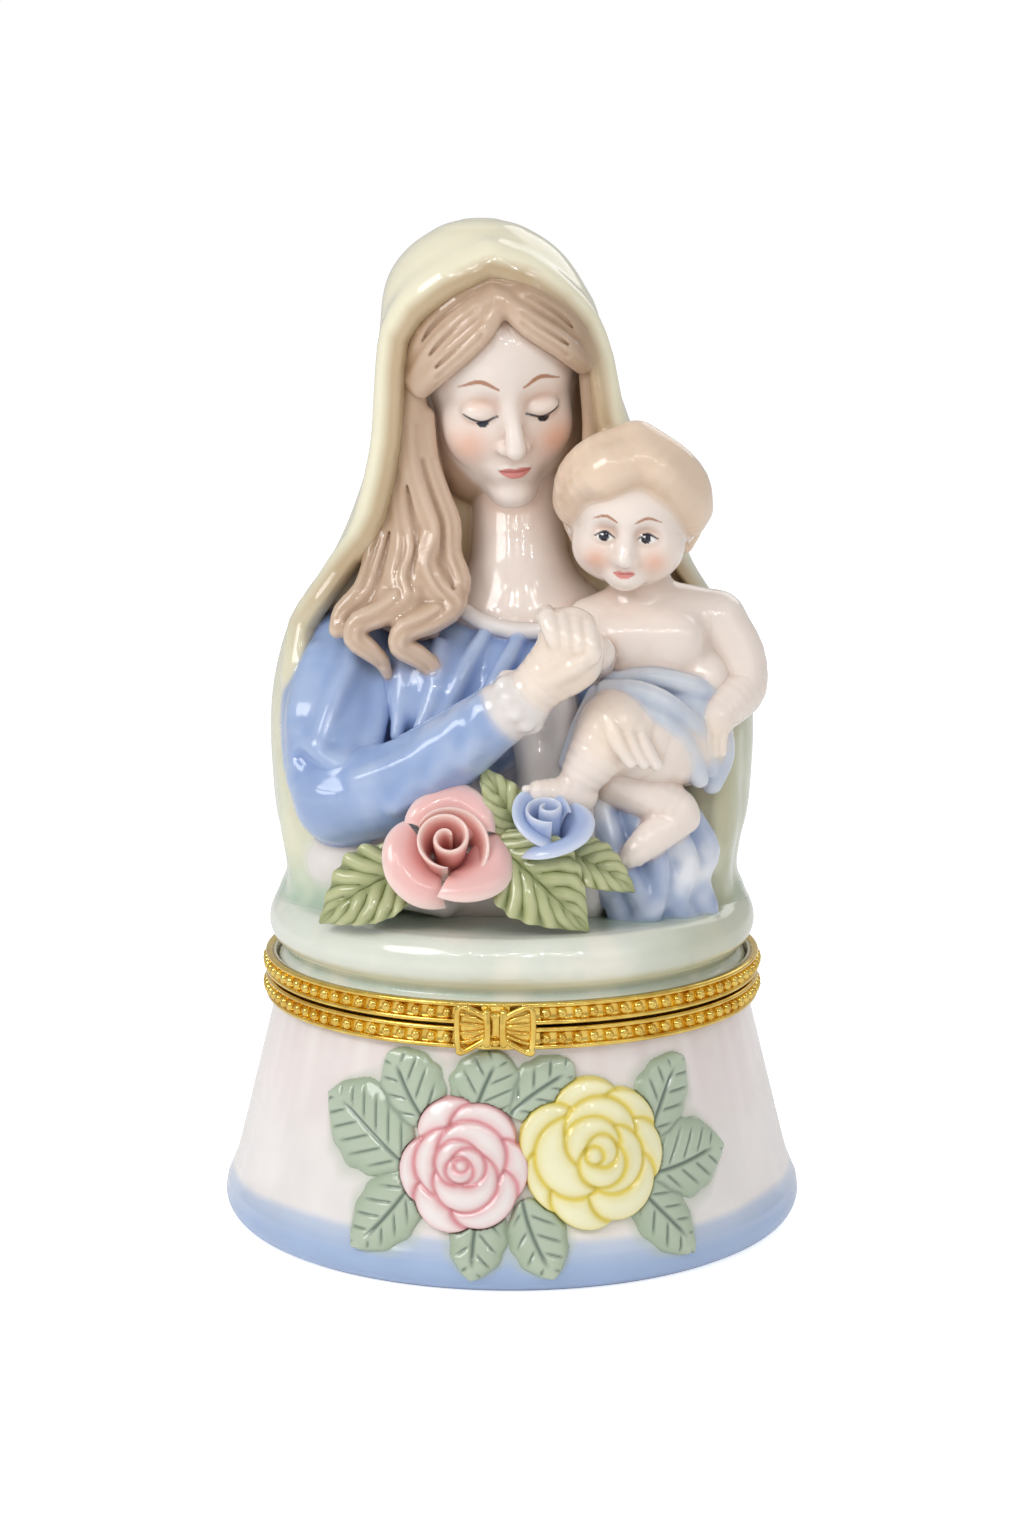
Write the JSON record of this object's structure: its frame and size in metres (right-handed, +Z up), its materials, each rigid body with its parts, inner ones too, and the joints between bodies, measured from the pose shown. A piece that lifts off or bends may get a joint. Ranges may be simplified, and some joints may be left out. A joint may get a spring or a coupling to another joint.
{
  "type": "madonna statue trinket box",
  "caption": "Glazed porcelain mother and child figure that forms the hinged lid of a round trinket box, with beaded brass rims, a bow catch and applied flowers.",
  "frame": {"origin": "centre of the foot, on the surface that the box stands on", "axes": "+Z up through the figure's head; -Y is the front, where the catch is; +Y is the back, where the hinge is; +X is the viewer's right"},
  "size_m": [0.071, 0.071, 0.1207],
  "materials": {
    "bowl_glaze": "glossy",
    "relief_leaf_glaze": "glossy",
    "relief_pink_glaze": "glossy",
    "relief_yellow_glaze": "glossy",
    "plinth_glaze": "glossy",
    "cloak_glaze": "glossy",
    "white_glaze": "glossy",
    "dress_glaze": "glossy",
    "skin_glaze": "glossy",
    "hair_glaze": "glossy",
    "cloth_glaze": "glossy",
    "leaf_glaze": "glossy",
    "rose_glaze": "glossy",
    "bud_glaze": "glossy",
    "brass": "polished",
    "plaster": "matte"
  },
  "bodies": {
    "box": {"base_bowl": "bowl_glaze", "relief_leaves": "relief_leaf_glaze", "relief_rose_pink": "relief_pink_glaze", "relief_rose_yellow": "relief_yellow_glaze", "lower_cement": "plaster", "lower_rim": "brass", "lower_beads": "brass", "lower_hinge_leaf": "brass", "hinge_pin": "brass", "catch_stud": "brass"},
    "lid": {"upper_rim": "brass", "upper_beads": "brass", "upper_hinge_leaf": "brass", "upper_cement": "plaster", "catch_tongue": "brass", "catch_bow": "brass", "lid_plinth": "plinth_glaze", "cloak": "cloak_glaze", "skirt": "white_glaze", "bodice": "dress_glaze", "drape": "dress_glaze", "mother_neck": "skin_glaze", "collar": "white_glaze", "hair_front": "hair_glaze", "hair_locks": "hair_glaze", "mother_head": "skin_glaze", "child_torso": "skin_glaze", "loincloth": "cloth_glaze", "child_right_arm": "skin_glaze", "child_hair": "hair_glaze", "child_head": "skin_glaze", "child_left_arm": "skin_glaze", "child_left_leg": "skin_glaze", "child_right_leg": "skin_glaze", "mother_left_hand": "skin_glaze", "upper_sleeve": "dress_glaze", "forearm_sleeve": "dress_glaze", "cuff": "white_glaze", "mother_right_hand": "skin_glaze", "leaf_left": "leaf_glaze", "leaf_top": "leaf_glaze", "leaf_front": "leaf_glaze", "leaf_right": "leaf_glaze", "rose_petal_top": "rose_glaze", "rose_petal_left": "rose_glaze", "rose_petal_right": "rose_glaze", "rose_wrap": "rose_glaze", "rose_coil": "rose_glaze", "bud_petal_back": "bud_glaze", "bud_petal_right": "bud_glaze", "bud_petal_left": "bud_glaze", "bud_coil": "bud_glaze"}
  },
  "joints": [
    {"name": "lid_hinge", "type": "hinge", "parent": "box", "child": "lid", "pos_m": [0, 0.0313, 0.03035], "axis": [-1, 0, 0], "range_deg": [0, 95]}
  ]
}
